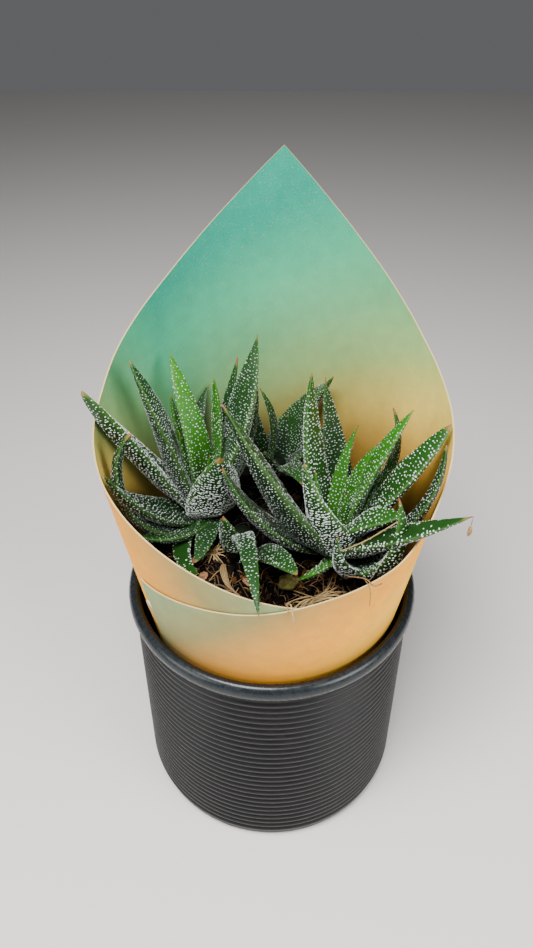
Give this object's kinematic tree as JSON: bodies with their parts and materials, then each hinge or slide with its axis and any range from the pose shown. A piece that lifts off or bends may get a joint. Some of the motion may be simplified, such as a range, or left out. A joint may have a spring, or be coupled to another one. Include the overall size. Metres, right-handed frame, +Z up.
{
  "type": "potted haworthia",
  "caption": "Zebra haworthia clump in soil in a nursery pot, wrapped in a pointed flaring card sleeve and set in a ribbed black ceramic cachepot.",
  "frame": {"origin": "centre of the cachepot's flat base", "axes": "+Z up along the pot's axis, -Y towards the low front of the sleeve, +X to the right as seen from the front"},
  "size_m": [0.1423, 0.1558, 0.288],
  "materials": {
    "cachepot": "charcoal black satin glaze, smoother and shinier on the rim",
    "card": "matt kraft-like card printed with a soft colour fade, cream cut edges",
    "nursery_pot": "thin matt black moulded plastic",
    "soil": "loose dark peat and bark potting soil with coir fibres",
    "leaf": "firm waxy dark green leaf with rows of raised white dots",
    "bark": "dry fibrous bark",
    "clay": "dull olive lump with a rough crust",
    "roots": "dry tan root and coir fibres"
  },
  "bodies": {
    "root": {"cachepot": "cachepot", "card_sleeve": "card", "nursery_pot": "nursery_pot", "soil": "soil", "rosette_left": "leaf", "rosette_right": "leaf", "rosette_back": "leaf", "rosette_front": "leaf", "bark_strip": "bark", "clay_lump": "clay", "chip_left": "bark", "chip_middle": "bark", "chip_front": "bark", "root_tuft": "roots", "coir_clump": "roots"}
  },
  "joints": []
}
